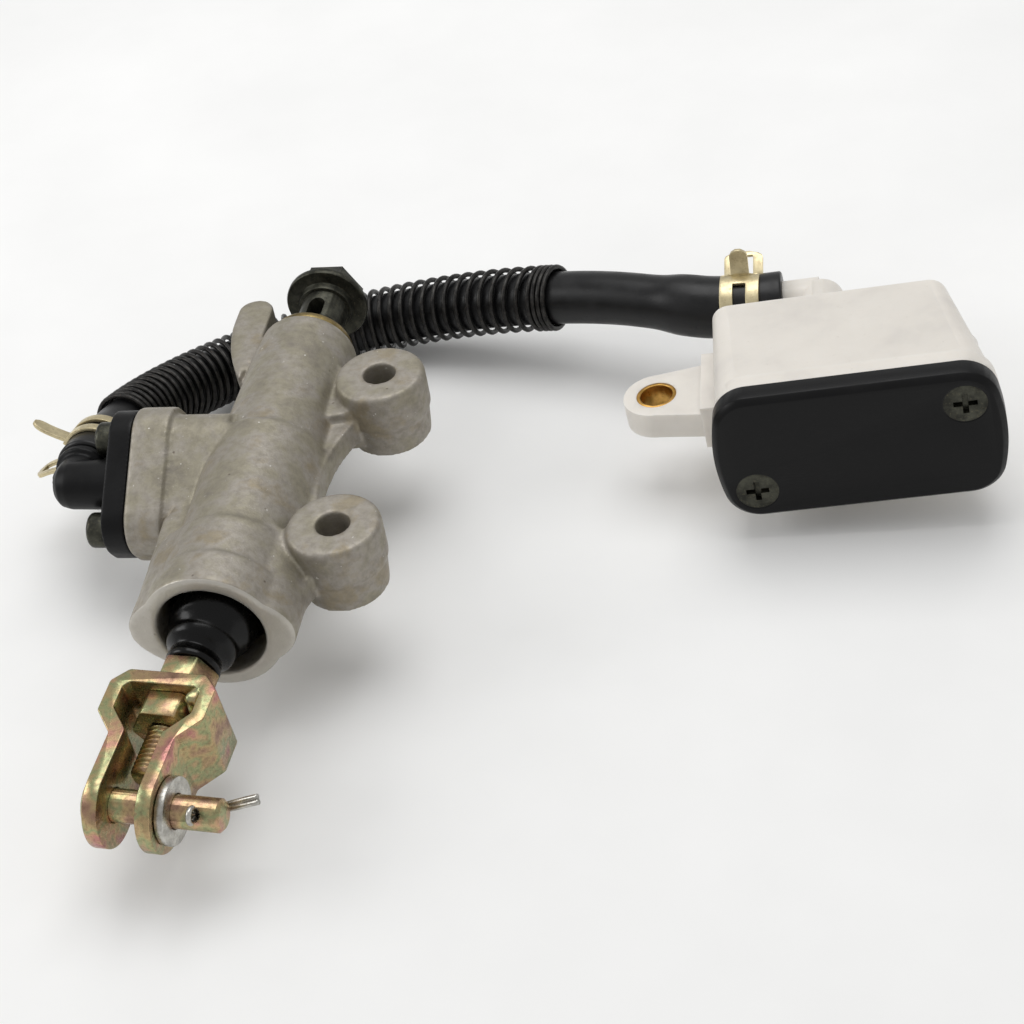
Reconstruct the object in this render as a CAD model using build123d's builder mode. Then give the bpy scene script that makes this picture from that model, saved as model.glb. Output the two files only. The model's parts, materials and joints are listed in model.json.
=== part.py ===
"""Rear brake master cylinder of a motorcycle, with its remote fluid reservoir and hose.

Frame: the origin is midway between the two mounting holes, on their lower seat faces.
+Z runs along the mounting holes, +Y along the bore towards the outlet, and +X from
the bore to the mounting holes.  Millimetres throughout.
"""
import os
from math import cos, pi, radians, sin, tan

from build123d import *

os.makedirs("parts", exist_ok=True)

# ---------------------------------------------------------------- driving dimensions
BOLT_SPACING = 45.0  # between the two mounting holes
BOLT_HOLE_R = 3.25  # clearance for an M6 bolt
BOSS_TOP = 14.8  # height of the mounting bosses
BOSS_R = 9.0
AXIS_X = -20.0  # the bore axis
AXIS_Z = 6.5
MOUTH_Y = -42.8  # open end of the casting
COLLAR_Y = 40.7  # outlet end of the casting
MOUTH_R = 13.1
RECESS_R = 9.9  # recess that holds the dust boot
BORE_R = 7.0
BORE_END_Y = 21.0
STROKE = 10.0
OUTLET_R = 5.0  # M10 outlet thread
FIT = 0.05  # radial running clearance
ROD_R = 2.95  # M6 pushrod
BALL_R = 5.0
BALL_Y = -24.8  # centre of the pushrod's ball
ROD_YAW = 6.0  # the hanging pushrod points this much to the side
ROD_DROOP = 6.0  # and this much down, in degrees
PIN_AT = 55.0  # clevis pin, measured along the rod from the ball
INLET_Y = -0.5
INLET_FACE = 25.3  # from the bore axis to the inlet's flange face
INLET_TILT = 33.0  # of the inlet flange's long axis, in degrees
INLET_PITCH = 9.3  # from the port to each connector screw
ELBOW_OUT = 39.2  # from the bore axis to the connector's nipple
HOSE_R = 5.6
HOSE_BORE_R = 3.7
GUARD_R = 7.1
CAP_HALF = 24.8  # half length of the reservoir cap, without its bowed ends
CAP_BOW = 2.6
CAP_HALF_WIDE = 14.1
CAP_CORNER = 7.0
CAP_THICK = 4.9
TANK_DEPTH = 33.8  # from the cap's face to the tank's floor
TANK_WALL = 1.9
SCREW_U = 20.2  # cap screws, on one diagonal of the cap
SCREW_V = 7.5
EAR_U = -38.8  # the tank's mounting hole
EAR_W = -21.2
SPIGOT_U = -6.0
SPIGOT_V = 0.9
SPIGOT_W = -50.0

# ---------------------------------------------------------------- frames
BORE = Axis((AXIS_X, 0, AXIS_Z), (0, 1, 0))
BORE_PLANE = Plane(origin=(AXIS_X, 0, AXIS_Z), x_dir=(0, 1, 0), z_dir=(1, 0, 0))

yaw = radians(ROD_YAW)
droop = radians(ROD_DROOP)
ROD_DIR = Vector(-sin(yaw) * cos(droop), -cos(yaw) * cos(droop), -sin(droop))
PIN_DIR = Vector(cos(yaw), -sin(yaw), 0)
ROD_UP = ROD_DIR.cross(PIN_DIR)
BALL = Vector(AXIS_X, BALL_Y, AXIS_Z)
ROD = Axis(BALL, ROD_DIR)
ROD_PLANE = Plane(origin=BALL, x_dir=ROD_DIR, z_dir=PIN_DIR)
CLEVIS_PLANE = Plane(origin=BALL, x_dir=PIN_DIR, z_dir=PIN_DIR.cross(ROD_DIR))
PIN_CENTRE = BALL + ROD_DIR * PIN_AT
PIN = Axis(PIN_CENTRE, PIN_DIR)
PIN_PLANE = Plane(origin=PIN_CENTRE, x_dir=PIN_DIR, z_dir=ROD_DIR)

tilt = radians(INLET_TILT)
INLET_LONG = Vector(0, cos(tilt), sin(tilt))
INLET = Plane(
    origin=(AXIS_X - INLET_FACE, INLET_Y, AXIS_Z), x_dir=INLET_LONG, z_dir=(-1, 0, 0)
)

TANK_U = Vector(0.9953, 0.0650, 0.0720)
TANK_N = Vector(0.0640, -0.9978, 0.0160)
TANK_V = TANK_N.cross(TANK_U)
CAP_CENTRE = Vector(AXIS_X + 113.7, 8.4, AXIS_Z - 1.9)
TANK = Plane(origin=CAP_CENTRE, x_dir=TANK_U, z_dir=TANK_N)


def turned(plane, axis, outline):
    """Solid of revolution: an outline of (along, radius) points turned about the axis."""
    with BuildPart() as piece:
        with BuildSketch(plane):
            with BuildLine():
                Polyline(*outline, close=True)
            make_face()
        revolve(axis=axis)
    return piece


def ring(plane, axis, start, end, inner, outer):
    """Plain ring between two places along the axis."""
    return turned(plane, axis, [(start, inner), (start, outer), (end, outer), (end, inner)])


NUT_CORNER_SHARE = 0.56  # radius left at a nut's corners, as a share of its width across flats


def hex_nut(at, height, across_flats, hole_r):
    """Hexagon nut on the rod, starting at a distance from the ball."""
    with BuildPart() as nut:
        with BuildSketch(Plane(origin=BALL + ROD_DIR * at, x_dir=PIN_DIR, z_dir=ROD_DIR)):
            RegularPolygon(across_flats / 2, 6, major_radius=False)
            Circle(hole_r, mode=Mode.SUBTRACT)
        extrude(amount=height)
        # a round trim takes the six sharp corners off the hexagon
        with BuildSketch(Plane(origin=BALL + ROD_DIR * at, x_dir=PIN_DIR, z_dir=ROD_DIR)):
            Circle(across_flats * NUT_CORNER_SHARE)
        extrude(amount=height, mode=Mode.INTERSECT)
    return nut


def save(piece, name):
    """Label the piece and write its STEP file."""
    piece.part.label = name
    export_step(piece.part, f"parts/{name}.step")
    print(name, round(piece.part.volume, 1))


# ---------------------------------------------------------------- cylinder casting
BAND_Y = -34.8
OVAL_HALF = 15.7
OVAL_HALF_THICK = 9.6
WAIST_Y = -24.3
STEP_Y = 4.7
BARREL = [
    (MOUTH_Y, 0),
    (MOUTH_Y, MOUTH_R - 0.5),
    (MOUTH_Y + 0.5, MOUTH_R),
    (BAND_Y, MOUTH_R),
    (BAND_Y + 0.9, MOUTH_R - 0.8),
    (WAIST_Y, MOUTH_R - 0.8),
    (WAIST_Y + 0.8, 11.7),
    (STEP_Y, 11.9),
    (STEP_Y + 1.0, 11.1),
    (34.0, 10.5),
    (35.2, 10.3),
    (COLLAR_Y - 0.5, 10.2),
    (COLLAR_Y, 9.7),
    (COLLAR_Y, 0),
]
BORE_STEPS = [
    (MOUTH_Y - 1, 0),
    (MOUTH_Y - 1, RECESS_R + 0.7),
    (MOUTH_Y + 0.7, RECESS_R),
    (-31.4, RECESS_R),
    (-31.4, BORE_R + 0.4),
    (-30.6, BORE_R),
    (BORE_END_Y, BORE_R),
    (BORE_END_Y + 3.0, 2.0),
    (29.0, 2.0),
    (29.0, OUTLET_R),
    (COLLAR_Y - 0.6, OUTLET_R),
    (COLLAR_Y + 0.2, OUTLET_R + 0.8),
    (COLLAR_Y + 1, OUTLET_R + 0.8),
    (COLLAR_Y + 1, 0),
]
CIRCLIP_Y = -29.6
GROOVE_R = 7.9

with BuildPart() as cylinder_body:
    with BuildSketch(BORE_PLANE):
        with BuildLine():
            Polyline(*BARREL, close=True)
        make_face()
    revolve(axis=BORE)
    # thin web along the parting plane, from the mouth to both bosses
    with BuildSketch(Plane.XY.offset(AXIS_Z)) as web:
        with BuildLine():
            first = Line((AXIS_X - 13.4, MOUTH_Y + 3), (AXIS_X - 15.4, MOUTH_Y + 9))
            second = Line(first @ 1, (AXIS_X - 16.4, -14))
            third = Line(second @ 1, (AXIS_X, 22))
            fourth = Line(third @ 1, (-2, 30))
            notch_in = Line(fourth @ 1, (-3.6, 15.5))
            notch = ThreePointArc(notch_in @ 1, (-7.4, 3), (-5.5, -13.5))
            fifth = Line(notch @ 1, (-3.5, -31))
            sixth = Line(fifth @ 1, (AXIS_X + 13.4, MOUTH_Y + 3))
            Line(sixth @ 1, first @ 0)
        make_face()
    extrude(amount=2.6, both=True)
    # oval swelling of the barrel between the mouth and the inlet
    with BuildSketch(Plane(origin=(AXIS_X, MOUTH_Y, AXIS_Z), x_dir=(1, 0, 0), z_dir=(0, 1, 0))):
        Ellipse(OVAL_HALF, OVAL_HALF_THICK)
    extrude(amount=20.5)
    # arms that carry the bosses
    with BuildSketch(Plane.XY.offset(AXIS_Z)):
        for side in (-1, 1):
            with Locations((AXIS_X / 2, side * (BOLT_SPACING / 2 - 0.8))):
                Trapezoid(20, 15, 78, rotation=-90)
    extrude(amount=4.6, both=True, taper=4)
    # bosses: straight above the parting plane, drafted below it
    with BuildSketch(Plane.XY.offset(AXIS_Z)):
        with Locations((0, -BOLT_SPACING / 2), (0, BOLT_SPACING / 2)):
            Circle(BOSS_R)
    extrude(amount=BOSS_TOP - AXIS_Z)
    with BuildSketch(Plane.XY.offset(AXIS_Z)):
        with Locations((0, -BOLT_SPACING / 2), (0, BOLT_SPACING / 2)):
            Circle(BOSS_R - 0.4)
    extrude(amount=-AXIS_Z, taper=5)
    boss_rims = cylinder_body.edges().filter_by(GeomType.CIRCLE)
    boss_rims = boss_rims.filter_by(lambda e: abs(e.center().Z - BOSS_TOP) < 0.01)
    fillet(boss_rims, 1.2)
    # inlet flange and its neck
    with BuildSketch(INLET):
        RectangleRounded(30, 16.4, 7.0)
    extrude(amount=-7.6)
    flange_edges = cylinder_body.edges().filter_by(lambda e: e.center().X < AXIS_X - INLET_FACE + 0.2)
    fillet(flange_edges, 0.7)
    with BuildSketch(INLET.offset(-7)):
        RectangleRounded(27, 14.6, 6.4)
    extrude(amount=-12)
    # tab beside the outlet that stops the hose fitting from turning
    with BuildSketch(Plane.XY.offset(AXIS_Z - 0.5)):
        with BuildLine():
            tab_out = ThreePointArc((AXIS_X - 11, 27), (AXIS_X - 16.2, 41), (AXIS_X - 16.8, 50))
            tab_tip = ThreePointArc(tab_out @ 1, (AXIS_X - 12.9, 54.2), (AXIS_X - 9.4, 50))
            tab_in = Line(tab_tip @ 1, (AXIS_X - 9.2, COLLAR_Y - 2))
            Line(tab_in @ 1, tab_out @ 0)
        make_face()
    extrude(amount=5.2)
    # bore, boot recess and outlet thread
    with BuildSketch(BORE_PLANE):
        with BuildLine():
            Polyline(*BORE_STEPS, close=True)
        make_face()
    revolve(axis=BORE, mode=Mode.SUBTRACT)
    with BuildSketch(BORE_PLANE):
        with Locations((CIRCLIP_Y + 0.6, GROOVE_R / 2)):
            Rectangle(1.3, GROOVE_R)
    revolve(axis=BORE, mode=Mode.SUBTRACT)
    # mounting holes, countersunk a little at both ends
    with BuildSketch(Plane.XY.offset(-1)):
        with Locations((0, -BOLT_SPACING / 2), (0, BOLT_SPACING / 2)):
            Circle(BOLT_HOLE_R)
    extrude(amount=BOSS_TOP + 2, mode=Mode.SUBTRACT)
    # fluid port into the bore, its counterbore and the two screw holes
    with BuildSketch(INLET):
        Circle(2.0)
    extrude(amount=-(INLET_FACE - 1), mode=Mode.SUBTRACT)
    with BuildSketch(INLET):
        Circle(5.1)
    extrude(amount=-3.2, mode=Mode.SUBTRACT)
    with BuildSketch(INLET):
        with Locations((-INLET_PITCH, 0), (INLET_PITCH, 0)):
            Circle(1.75)
    extrude(amount=-9, mode=Mode.SUBTRACT)
save(cylinder_body, "cylinder_body")

# ---------------------------------------------------------------- outlet
BANJO_FLANGE_Y = 57.7
WASHER_Y = 41.7
banjo_bolt_profile = turned(
    BORE_PLANE,
    BORE,
    [
        (31.0, 0),
        (31.0, 4.2),
        (31.8, OUTLET_R - FIT),
        (BANJO_FLANGE_Y - 1.4, OUTLET_R - FIT),
        (BANJO_FLANGE_Y - 1.4, 5.6),
        (BANJO_FLANGE_Y, 6.0),
        (BANJO_FLANGE_Y, 8.5),
        (BANJO_FLANGE_Y + 0.4, 8.7),
        (BANJO_FLANGE_Y + 1.3, 8.7),
        (BANJO_FLANGE_Y + 2.0, 7.6),
        (BANJO_FLANGE_Y + 2.0, 0),
    ],
)
with BuildPart() as banjo_bolt:
    add(banjo_bolt_profile.part)
    with BuildSketch(Plane(origin=(AXIS_X, BANJO_FLANGE_Y + 1.9, AXIS_Z), z_dir=(0, 1, 0))):
        RegularPolygon(6.0, 6, major_radius=False, rotation=30)
    extrude(amount=3.9)
    # drilled up the middle, and across below the head
    with BuildSketch(Plane(origin=(AXIS_X, 30, AXIS_Z), z_dir=(0, 1, 0))):
        Circle(2.0)
    extrude(amount=23, mode=Mode.SUBTRACT)
    with BuildSketch(Plane(origin=(AXIS_X, 50.5, AXIS_Z), z_dir=(0, 0, 1))):
        SlotOverall(6.5, 3.4, rotation=90)
    extrude(amount=8, both=True, mode=Mode.SUBTRACT)
save(banjo_bolt, "banjo_bolt")
WASHER_T = 1.6
WASHER_R = 8.8
crush_washer = ring(BORE_PLANE, BORE, WASHER_Y, WASHER_Y + WASHER_T, OUTLET_R + FIT, WASHER_R)
save(crush_washer, "crush_washer")

# ---------------------------------------------------------------- inside the bore
LAND_R = BORE_R - FIT
SEAL_R = BORE_R - 0.02
REAR_Y = -26.5
SEAL_A = (-16.8, -13.2)
CUP_Y = -2.0
NOSE_R = 3.0
piston_profile = turned(
    BORE_PLANE,
    BORE,
    [
        (REAR_Y, 0),
        (REAR_Y, LAND_R),
        (SEAL_A[0] - 0.1, LAND_R),
        (SEAL_A[0] - 0.1, 4.6),
        (SEAL_A[1] + 0.1, 4.6),
        (SEAL_A[1] + 0.1, LAND_R),
        (-11.6, LAND_R),
        (-11.6, 4.8),
        (-4.0, 4.8),
        (-4.0, LAND_R),
        (CUP_Y, LAND_R),
        (CUP_Y, NOSE_R),
        (3.4, NOSE_R),
        (3.4, 0),
    ],
)
with BuildPart() as piston:
    add(piston_profile.part)
    # spherical seat for the pushrod, open to the rear
    with BuildSketch(BORE_PLANE):
        with BuildLine():
            seat = CenterArc((BALL_Y, 0), BALL_R + FIT, 0, 90)
            Polyline(seat @ 1, (REAR_Y - 1, BALL_R + 0.5), (REAR_Y - 1, 0), seat @ 0)
        make_face()
    revolve(axis=BORE, mode=Mode.SUBTRACT)
save(piston, "piston")
secondary_cup = turned(
    BORE_PLANE,
    BORE,
    [
        (SEAL_A[0], 4.65),
        (SEAL_A[0], 6.3),
        (SEAL_A[1], SEAL_R),
        (SEAL_A[1], 6.3),
        (-15.2, 5.6),
        (SEAL_A[1], 5.0),
        (SEAL_A[1], 4.65),
    ],
)
save(secondary_cup, "secondary_cup")
primary_cup = turned(
    BORE_PLANE,
    BORE,
    [
        (CUP_Y + FIT, NOSE_R + FIT),
        (CUP_Y + FIT, 6.4),
        (CUP_Y + 4.0, SEAL_R),
        (CUP_Y + 4.0, 6.2),
        (CUP_Y + 1.8, 5.2),
        (CUP_Y + 1.8, NOSE_R + FIT),
    ],
)
save(primary_cup, "primary_cup")
SPRING_START = CUP_Y + 2.6
SPRING_R = 4.3
WIRE_R = 0.6
with BuildPart() as return_spring:
    with BuildLine() as coil:
        Helix(
            pitch=2.9,
            height=BORE_END_Y - SPRING_START - 0.8,
            radius=SPRING_R,
            center=(AXIS_X, SPRING_START, AXIS_Z),
            direction=(0, 1, 0),
        )
    with BuildSketch(Plane(origin=coil.line @ 0, z_dir=coil.line % 0)):
        Circle(WIRE_R)
    sweep(is_frenet=True)
save(return_spring, "return_spring")
stop_washer = ring(BORE_PLANE, BORE, -28.35, -26.85, 4.6, LAND_R)
save(stop_washer, "stop_washer")
circlip_profile = ring(BORE_PLANE, BORE, CIRCLIP_Y + 0.05, -28.4, 5.7, GROOVE_R - FIT)
with BuildPart() as circlip:
    add(circlip_profile.part)
    # the gap that lets it spring into its groove, with a plier ear on each side
    with BuildSketch(Plane(origin=(AXIS_X, CIRCLIP_Y - 1, AXIS_Z), z_dir=(0, 1, 0))):
        with Locations((0, 7)):
            Rectangle(3.2, 6)
    extrude(amount=3, mode=Mode.SUBTRACT)
save(circlip, "circlip")

# ---------------------------------------------------------------- pushrod, boot and clevis
ROD_END = 49.4
NECK_AT = 23.5
BOOT_WALL = 1.2
with BuildPart() as pushrod:
    with BuildSketch(ROD_PLANE):
        with BuildLine():
            ball_arc = CenterArc((0, 0), BALL_R, 36, 144)
            Polyline(
                ball_arc @ 0,
                (6.0, 2.6),
                (NECK_AT - 2, 2.6),
                (NECK_AT - 1, ROD_R),
                (ROD_END - 0.7, ROD_R),
                (ROD_END, ROD_R - 0.7),
                (ROD_END, 0),
                ball_arc @ 1,
            )
        make_face()
    revolve(axis=ROD)
save(pushrod, "pushrod")

BOOT_SEAT_Y = -36.0  # the boot's base ring ends here
BOOT_BASE_R = 9.75
BOOT_END_AT = 25.0
with BuildPart() as dust_boot:
    with BuildSketch(BORE_PLANE):
        with Locations((-33.7, 8.2)):
            Rectangle(4.6, 3.1)
    revolve(axis=BORE)
    with BuildSketch(Plane(origin=(AXIS_X, BOOT_SEAT_Y + 0.1, AXIS_Z), z_dir=(0, -1, 0))):
        Circle(9.0)
    for at, radius in ((16.5, 7.4), (BOOT_END_AT, 4.8)):
        with BuildSketch(Plane(origin=BALL + ROD_DIR * at, z_dir=ROD_DIR)):
            Circle(radius)
    loft()
    with BuildSketch(Plane(origin=(AXIS_X, BOOT_SEAT_Y + 0.2, AXIS_Z), z_dir=(0, -1, 0))):
        Circle(7.6)
    for at, radius in ((16.5, 6.1), (BOOT_END_AT - 3.2, 4.0)):
        with BuildSketch(Plane(origin=BALL + ROD_DIR * at, z_dir=ROD_DIR)):
            Circle(radius)
    loft(mode=Mode.SUBTRACT)
    with BuildSketch(Plane(origin=BALL + ROD_DIR * 18, z_dir=ROD_DIR)):
        Circle(ROD_R + 0.1)
    extrude(amount=9, mode=Mode.SUBTRACT)
save(dust_boot, "dust_boot")

lock_nut = hex_nut(25.6, 5.0, 10.0, ROD_R + FIT)
save(lock_nut, "lock_nut")

STRAP = 2.7  # thickness of the clevis strap
STRAP_WIDE = 15.0
BRIDGE_AT = 31.4
EAR_GAP = 7.0
SHOULDER = 20.0  # outside width of the upper box
half_in = EAR_GAP / 2
half_out = half_in + STRAP
box_out = SHOULDER / 2
box_in = box_out - STRAP
CORNER = 2.8
EAR_END = PIN_AT + STRAP_WIDE / 2
right_side = [
    (box_out - CORNER, BRIDGE_AT),
    (box_out, BRIDGE_AT + CORNER),
    (box_out, BRIDGE_AT + 9.4),
    (half_out, BRIDGE_AT + 13.9),
    (half_out, EAR_END),
    (half_in, EAR_END),
    (half_in, BRIDGE_AT + 12.9),
    (box_in, BRIDGE_AT + 8.4),
    (box_in, BRIDGE_AT + CORNER + 1.1),
    (box_in - 1.1, BRIDGE_AT + STRAP),
]
left_side = [(-x, y) for x, y in reversed(right_side)]
BEND_R = 1.2
with BuildPart() as clevis:
    with BuildSketch(CLEVIS_PLANE) as strap:
        with BuildLine():
            Polyline(*right_side, *left_side, close=True)
        make_face()
        bends = strap.vertices().filter_by(lambda v: v.Y < EAR_END - 1)
        fillet(bends, BEND_R)
    extrude(amount=STRAP_WIDE / 2, both=True)
    # ears rounded about the pin
    with BuildSketch(Plane(origin=BALL, x_dir=ROD_DIR, z_dir=PIN_DIR)):
        with Locations(((BRIDGE_AT + PIN_AT) / 2, 0)):
            Rectangle(PIN_AT - BRIDGE_AT, STRAP_WIDE)
        with Locations((PIN_AT, 0)):
            Circle(STRAP_WIDE / 2)
    extrude(amount=SHOULDER, both=True, mode=Mode.INTERSECT)
    with BuildSketch(Plane(origin=PIN_CENTRE, x_dir=ROD_DIR, z_dir=PIN_DIR)):
        Circle(3.0 + FIT)
    extrude(amount=SHOULDER, both=True, mode=Mode.SUBTRACT)
    with BuildSketch(Plane(origin=BALL + ROD_DIR * 30, x_dir=PIN_DIR, z_dir=ROD_DIR)):
        Circle(ROD_R + 0.15)
    extrude(amount=6, mode=Mode.SUBTRACT)
save(clevis, "clevis")
clevis_nut = hex_nut(BRIDGE_AT + STRAP + FIT, 5.2, 11.0, ROD_R + FIT)
save(clevis_nut, "clevis_nut")

WASHER_T = 1.6
PIN_TIP = half_out + 10.4
COTTER_AT = half_out + 5.9
PIN_R = 2.95
COTTER_R = 0.95
COTTER_DIR = (ROD_UP * 0.75 + ROD_DIR * 0.66).normalized()
clevis_pin_profile = turned(
    PIN_PLANE,
    PIN,
    [
        (-half_out - 1.7, 0),
        (-half_out - 1.7, 4.4),
        (-half_out - 1.3, 4.8),
        (-half_out - 0.1, 4.8),
        (-half_out - 0.1, PIN_R),
        (PIN_TIP - 0.6, PIN_R),
        (PIN_TIP, PIN_R - 0.6),
        (PIN_TIP, 0),
    ],
)
with BuildPart() as clevis_pin:
    add(clevis_pin_profile.part)
    with BuildSketch(Plane(origin=PIN_CENTRE + PIN_DIR * COTTER_AT, z_dir=COTTER_DIR)):
        Circle(1.3)
    extrude(amount=6, both=True, mode=Mode.SUBTRACT)
save(clevis_pin, "clevis_pin")
pin_washer = ring(PIN_PLANE, PIN, half_out + 0.15, half_out + 0.15 + WASHER_T, PIN_R + 0.1, 6.0)
save(pin_washer, "pin_washer")
cotter_mid = PIN_CENTRE + PIN_DIR * COTTER_AT
with BuildPart() as cotter_pin:
    with BuildLine() as wire:
        FilletPolyline(
            cotter_mid + COTTER_DIR * 3.6,
            cotter_mid - COTTER_DIR * 5.2,
            cotter_mid - COTTER_DIR * 6.6 + PIN_DIR * 7.2,
            radius=1.6,
        )
    with BuildSketch(Plane(origin=wire.line @ 0, z_dir=wire.line % 0)):
        Circle(COTTER_R)
    sweep()
    # rounded head of the split pin
    with Locations(cotter_mid + COTTER_DIR * 4.4):
        Sphere(1.5)
save(cotter_pin, "cotter_pin")

# ---------------------------------------------------------------- inlet connector
PLATE_T = 4.6
TUBE_R = 4.9
HOSE_FROM = 7.0
LEG_DIR = Vector(0, 0.9744, -0.2249)
ELBOW = Vector(AXIS_X - ELBOW_OUT, INLET_Y, AXIS_Z)
TUBE = Axis((AXIS_X, INLET_Y, AXIS_Z), (-1, 0, 0))
LEG = Axis(ELBOW, LEG_DIR)
TUBE_PLANE = Plane(origin=(AXIS_X, INLET_Y, AXIS_Z), x_dir=(-1, 0, 0), z_dir=(0, 1, 0))
LEG_PLANE = Plane(origin=ELBOW, x_dir=LEG_DIR, z_dir=(1, 0, 0))
NIPPLE_R = HOSE_BORE_R - 0.1
inlet_connector_profile = turned(
    TUBE_PLANE,
    TUBE,
    [
        (INLET_FACE - 3.0, 0),
        (INLET_FACE - 3.0, 3.2),
        (INLET_FACE - 1.4, 3.2),
        (INLET_FACE - 1.4, 5.0),
        (INLET_FACE, 5.0),
        (INLET_FACE, TUBE_R + 0.5),
        (INLET_FACE + PLATE_T + 0.8, TUBE_R + 0.1),
        (ELBOW_OUT + 0.4, TUBE_R - 0.1),
        (ELBOW_OUT + 2.2, 4.3),
        (ELBOW_OUT + 3.4, 3.0),
        (ELBOW_OUT + 3.9, 0),
    ],
)
with BuildPart() as inlet_connector:
    add(inlet_connector_profile.part)
    with BuildSketch(INLET.offset(FIT)):
        RectangleRounded(29, 15.6, 6.7)
    extrude(amount=PLATE_T)
    with BuildSketch(LEG_PLANE):
        with BuildLine():
            Polyline(
                (0, 0),
                (0, TUBE_R - 0.2),
                (4.4, TUBE_R - 0.2),
                (4.8, 5.7),
                (6.5, 5.7),
                (HOSE_FROM - FIT, 4.9),
                (HOSE_FROM - FIT, NIPPLE_R - 0.2),
                (14.0, NIPPLE_R - 0.2),
                (14.2, NIPPLE_R),
                (16.0, NIPPLE_R - 0.4),
                (16.0, 0),
                close=True,
            )
        make_face()
    revolve(axis=LEG)
    with BuildSketch(Plane(origin=ELBOW + LEG_DIR * 18, z_dir=LEG_DIR * -1)):
        Circle(2.3)
    extrude(amount=18, mode=Mode.SUBTRACT)
    with BuildSketch(Plane(origin=ELBOW, z_dir=(1, 0, 0))):
        Circle(2.3)
    extrude(amount=ELBOW_OUT - INLET_FACE + 4, mode=Mode.SUBTRACT)
    with BuildSketch(INLET.offset(-FIT)):
        with Locations((-INLET_PITCH, 0), (INLET_PITCH, 0)):
            Circle(2.1)
    extrude(amount=PLATE_T + 1, mode=Mode.SUBTRACT)
save(inlet_connector, "inlet_connector")
connector_o_ring = ring(
    TUBE_PLANE, TUBE, INLET_FACE - 2.95, INLET_FACE - 1.45, 3.25, 5.05
)
save(connector_o_ring, "connector_o_ring")
SCREW_HEAD = 4.8
with BuildPart() as connector_screws:
    with BuildSketch(INLET.offset(PLATE_T + 2 * FIT)):
        with Locations((-INLET_PITCH, 0), (INLET_PITCH, 0)):
            Circle(3.5)
    extrude(amount=SCREW_HEAD)
    head_rims = connector_screws.edges().group_by(Axis.X)[0]
    fillet(head_rims, 1.0)
    with BuildSketch(INLET.offset(PLATE_T + 2 * FIT)):
        with Locations((-INLET_PITCH, 0), (INLET_PITCH, 0)):
            Circle(1.7)
    extrude(amount=-12.5)
    with BuildSketch(INLET.offset(PLATE_T + SCREW_HEAD + 1)):
        for side in (-1, 1):
            with Locations((side * INLET_PITCH, 0)):
                Rectangle(3.8, 1.0)
                Rectangle(1.0, 3.8)
    extrude(amount=-2.6, mode=Mode.SUBTRACT)
save(connector_screws, "connector_screws")

# ---------------------------------------------------------------- hose
HOSE_START = ELBOW + LEG_DIR * HOSE_FROM
SPIGOT_CORNER = CAP_CENTRE + TANK_U * SPIGOT_U + TANK_V * SPIGOT_V + TANK_N * SPIGOT_W
HOSE_END_OUT = 7.5  # from the spigot's corner to the hose's end
HOSE_END = SPIGOT_CORNER - TANK_U * HOSE_END_OUT
ROUTE = [
    HOSE_START,
    HOSE_START + LEG_DIR * 11.8,
    Vector(-58.0, 28.9, -0.8),
    Vector(-54.8, 39.2, -3.7),
    Vector(-49.6, 48.9, -6.2),
    Vector(-42.6, 57.4, -7.9),
    Vector(-34.2, 64.3, -8.8),
    Vector(-24.6, 69.2, -8.9),
    Vector(-13.8, 71.8, -7.8),
    Vector(-2.0, 72.0, -5.7),
    Vector(11.2, 70.2, -2.8),
    Vector(25.3, 67.2, 0.0),
    Vector(40.0, 63.4, 2.3),
    Vector(53.2, 59.2, 3.1),
    HOSE_END - TANK_U * 11.6,
    HOSE_END,
]


def corner_radii(points):
    """Largest arc at each corner: 0.45 of the shorter run over the tangent of half the turn."""
    radii = []
    for before, at, after in zip(points, points[1:], points[2:]):
        turn = (at - before).get_angle(after - at)
        shorter = min((at - before).length, (after - at).length)
        radii.append(0.45 * shorter / tan(radians(turn / 2)))
    return radii


def tube(points, outer, inner):
    """Round tube along straight runs joined by tangent arcs."""
    with BuildPart() as piece:
        with BuildLine() as path:
            FilletPolyline(*points, radius=corner_radii(points))
        with BuildSketch(Plane(origin=path.line @ 0, z_dir=path.line % 0)):
            Circle(outer)
            Circle(inner, mode=Mode.SUBTRACT)
        sweep()
    length = sum(edge.length for edge in path.edges())
    expected = pi * (outer**2 - inner**2) * length
    print("tube length", round(length, 1), "volume ratio", round(piece.part.volume / expected, 4))
    return piece


print("hose radii", [round(r, 1) for r in corner_radii(ROUTE)])
reservoir_hose = tube(ROUTE, HOSE_R, HOSE_BORE_R)
save(reservoir_hose, "reservoir_hose")
guard_start = (ROUTE[2] + ROUTE[3]) / 2
guard_end = (ROUTE[11] + ROUTE[12]) / 2
hose_guard_spring = tube([guard_start, *ROUTE[3:12], guard_end], GUARD_R, GUARD_R - 1.0)
save(hose_guard_spring, "hose_guard_spring")


def hose_clamp(centre, along, wide, tab_dir, tab_length):
    """Spring band with a rounded tab and a slotted tab, a quarter turn apart."""
    across = along.cross(tab_dir).normalized()
    outward = across.cross(along).normalized()
    with BuildPart() as clamp:
        with BuildSketch(Plane(origin=centre - along * (wide / 2), x_dir=outward, z_dir=along)):
            Circle(HOSE_R + 1.2)
            Circle(HOSE_R + 0.5, mode=Mode.SUBTRACT)
        extrude(amount=wide)
        for side, tab_wide in ((1, wide * 0.42), (-1, wide * 0.8)):
            lean = (outward + across * 0.35 * side).normalized()
            foot = centre + lean * (HOSE_R + 0.8)
            with BuildSketch(Plane(origin=foot, x_dir=along, z_dir=lean)):
                Rectangle(tab_wide, 0.8)
            extrude(amount=tab_length)
    return clamp


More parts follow.
